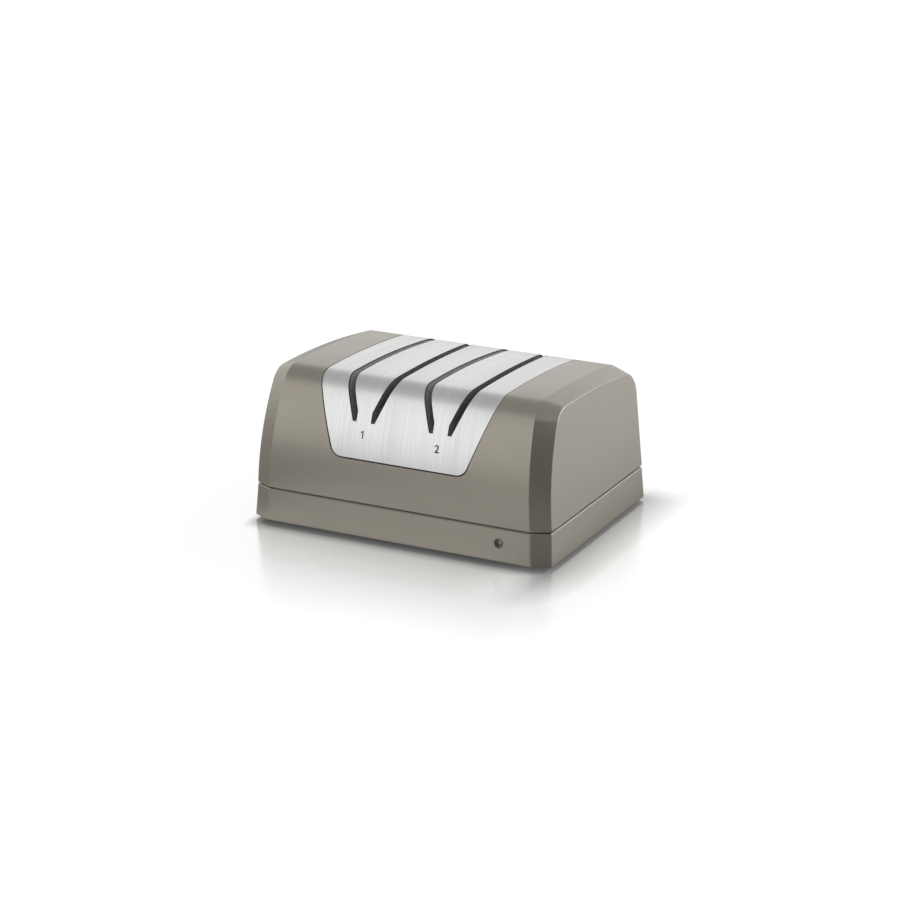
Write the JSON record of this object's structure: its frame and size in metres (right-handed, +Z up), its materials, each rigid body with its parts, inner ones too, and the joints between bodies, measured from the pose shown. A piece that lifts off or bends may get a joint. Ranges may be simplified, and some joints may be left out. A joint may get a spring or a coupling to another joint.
{
  "type": "knife sharpener",
  "caption": "Cordless knife sharpener: moulded housing with corner bands, brushed saddle with leaning blade slots, and sprung hone discs on a geared spindle.",
  "frame": {"origin": "on the table, under the middle of the base, at the bottom of the feet", "axes": "+X along the length to the right, +Y from the front to the rear, +Z up"},
  "size_m": [0.22, 0.163, 0.1049],
  "materials": {
    "housing": "satin metallic taupe",
    "saddle_steel": "fine brushed",
    "guide_plastic": "matte dark grey",
    "bright_steel": "ground",
    "diamond_disc": "fine abrasive coated",
    "polishing_disc": "abrasive resin",
    "bronze": "sintered",
    "black_plastic": "matte",
    "gear_nylon": "natural",
    "motor_can": "plated",
    "cell_wrap": "shrink wrap",
    "board": "coated",
    "lamp": "clear",
    "magnet": "plated",
    "rubber": "matte"
  },
  "bodies": {
    "root": {"upper_housing": "housing", "base_tray": "housing", "steel_saddle": "saddle_steel", "blade_guide_1": "guide_plastic", "blade_guide_2": "guide_plastic", "spindle_bushes": "bronze", "left_pedestal": "black_plastic", "motor_pedestal": "black_plastic", "motor": "motor_can", "battery_holder": "black_plastic", "battery_cells": "cell_wrap", "control_board": "board", "lamp_led": "lamp", "lamp_lens": "lamp", "charge_board": "board", "charge_socket": "bright_steel", "power_switch": "black_plastic", "feet": "rubber", "housing_screws": "bright_steel", "pedestal_screws": "bright_steel", "motor_screws": "bright_steel"},
    "spindle": {"spindle": "bright_steel", "drive_pins": "bright_steel", "spindle_clips": "bright_steel", "spindle_gear": "gear_nylon", "disc_spring_1": "bright_steel", "disc_spring_2": "bright_steel"},
    "sharpening_left": {"sharpening_disc_left": "diamond_disc"},
    "sharpening_right": {"sharpening_disc_right": "diamond_disc"},
    "polishing_left": {"polishing_disc_left": "polishing_disc"},
    "polishing_right": {"polishing_disc_right": "polishing_disc"},
    "motor_rotor": {"motor_shaft": "bright_steel", "motor_pinion": "bronze"},
    "button": {"power_button": "guide_plastic"},
    "cover": {"clean_out_cover": "housing", "filings_magnet": "magnet"}
  },
  "joints": [
    {"name": "spindle_spin", "type": "hinge", "parent": "root", "child": "spindle", "pos_m": [0, 0, 0.054], "axis": [1, 0, 0], "continuous": true},
    {"name": "motor_spin", "type": "hinge", "parent": "root", "child": "motor_rotor", "pos_m": [0.066, 0.037, 0.03576], "axis": [1, 0, 0], "continuous": true},
    {"name": "sharpening_left_slide", "type": "slide", "parent": "spindle", "child": "sharpening_left", "axis": [1, 0, 0], "range_m": [0, 0.0015], "stiffness_N_per_m": 800, "springref_m": -0.002, "deforming": ["disc_spring_1"]},
    {"name": "sharpening_right_slide", "type": "slide", "parent": "spindle", "child": "sharpening_right", "axis": [-1, 0, 0], "range_m": [0, 0.0015], "stiffness_N_per_m": 800, "springref_m": -0.002, "deforming": ["disc_spring_1"]},
    {"name": "polishing_left_slide", "type": "slide", "parent": "spindle", "child": "polishing_left", "axis": [1, 0, 0], "range_m": [0, 0.0015], "stiffness_N_per_m": 800, "springref_m": -0.002, "deforming": ["disc_spring_2"]},
    {"name": "polishing_right_slide", "type": "slide", "parent": "spindle", "child": "polishing_right", "axis": [-1, 0, 0], "range_m": [0, 0.0015], "stiffness_N_per_m": 800, "springref_m": -0.002, "deforming": ["disc_spring_2"]},
    {"name": "power_button_push", "type": "slide", "parent": "root", "child": "button", "axis": [0, -1, 0], "range_m": [0, 0.0012], "stiffness_N_per_m": 600, "springref_m": -0.001},
    {"name": "cover_pull", "type": "slide", "parent": "root", "child": "cover", "axis": [0, 0, -1], "range_m": [0, 0.02]}
  ],
  "couplings": [
    {"joint": "motor_spin", "follows": "spindle_spin", "ratio": -4.0769}
  ]
}
